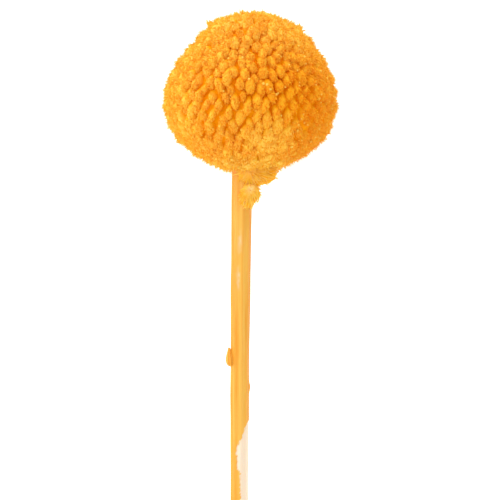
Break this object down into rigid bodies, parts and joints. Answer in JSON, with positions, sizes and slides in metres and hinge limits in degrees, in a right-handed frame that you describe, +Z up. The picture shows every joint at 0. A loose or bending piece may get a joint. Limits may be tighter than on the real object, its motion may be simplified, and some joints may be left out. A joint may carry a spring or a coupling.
{
  "type": "dried billy button flower",
  "caption": "Single dried globe flower: a ball of packed florets on a thin straight stem, cut and lying on its side.",
  "frame": {"origin": "on the surface that the flower lies on, under the middle of its bounding box", "axes": "+Y along the stem towards the head, +Z up from the surface, +X to the right when seen from above with the head at the top"},
  "size_m": [0.0285, 0.1153, 0.0274],
  "materials": {
    "florets": "dry matt florets, dyed orange",
    "stem": "dry matt plant stem, dyed yellow-orange, with a pale bare strip"
  },
  "bodies": {
    "root": {"flower_head": "florets", "neck_tuft_upper": "florets", "neck_tuft_lower": "florets", "stem": "stem", "leaf_scale": "stem"}
  },
  "joints": []
}
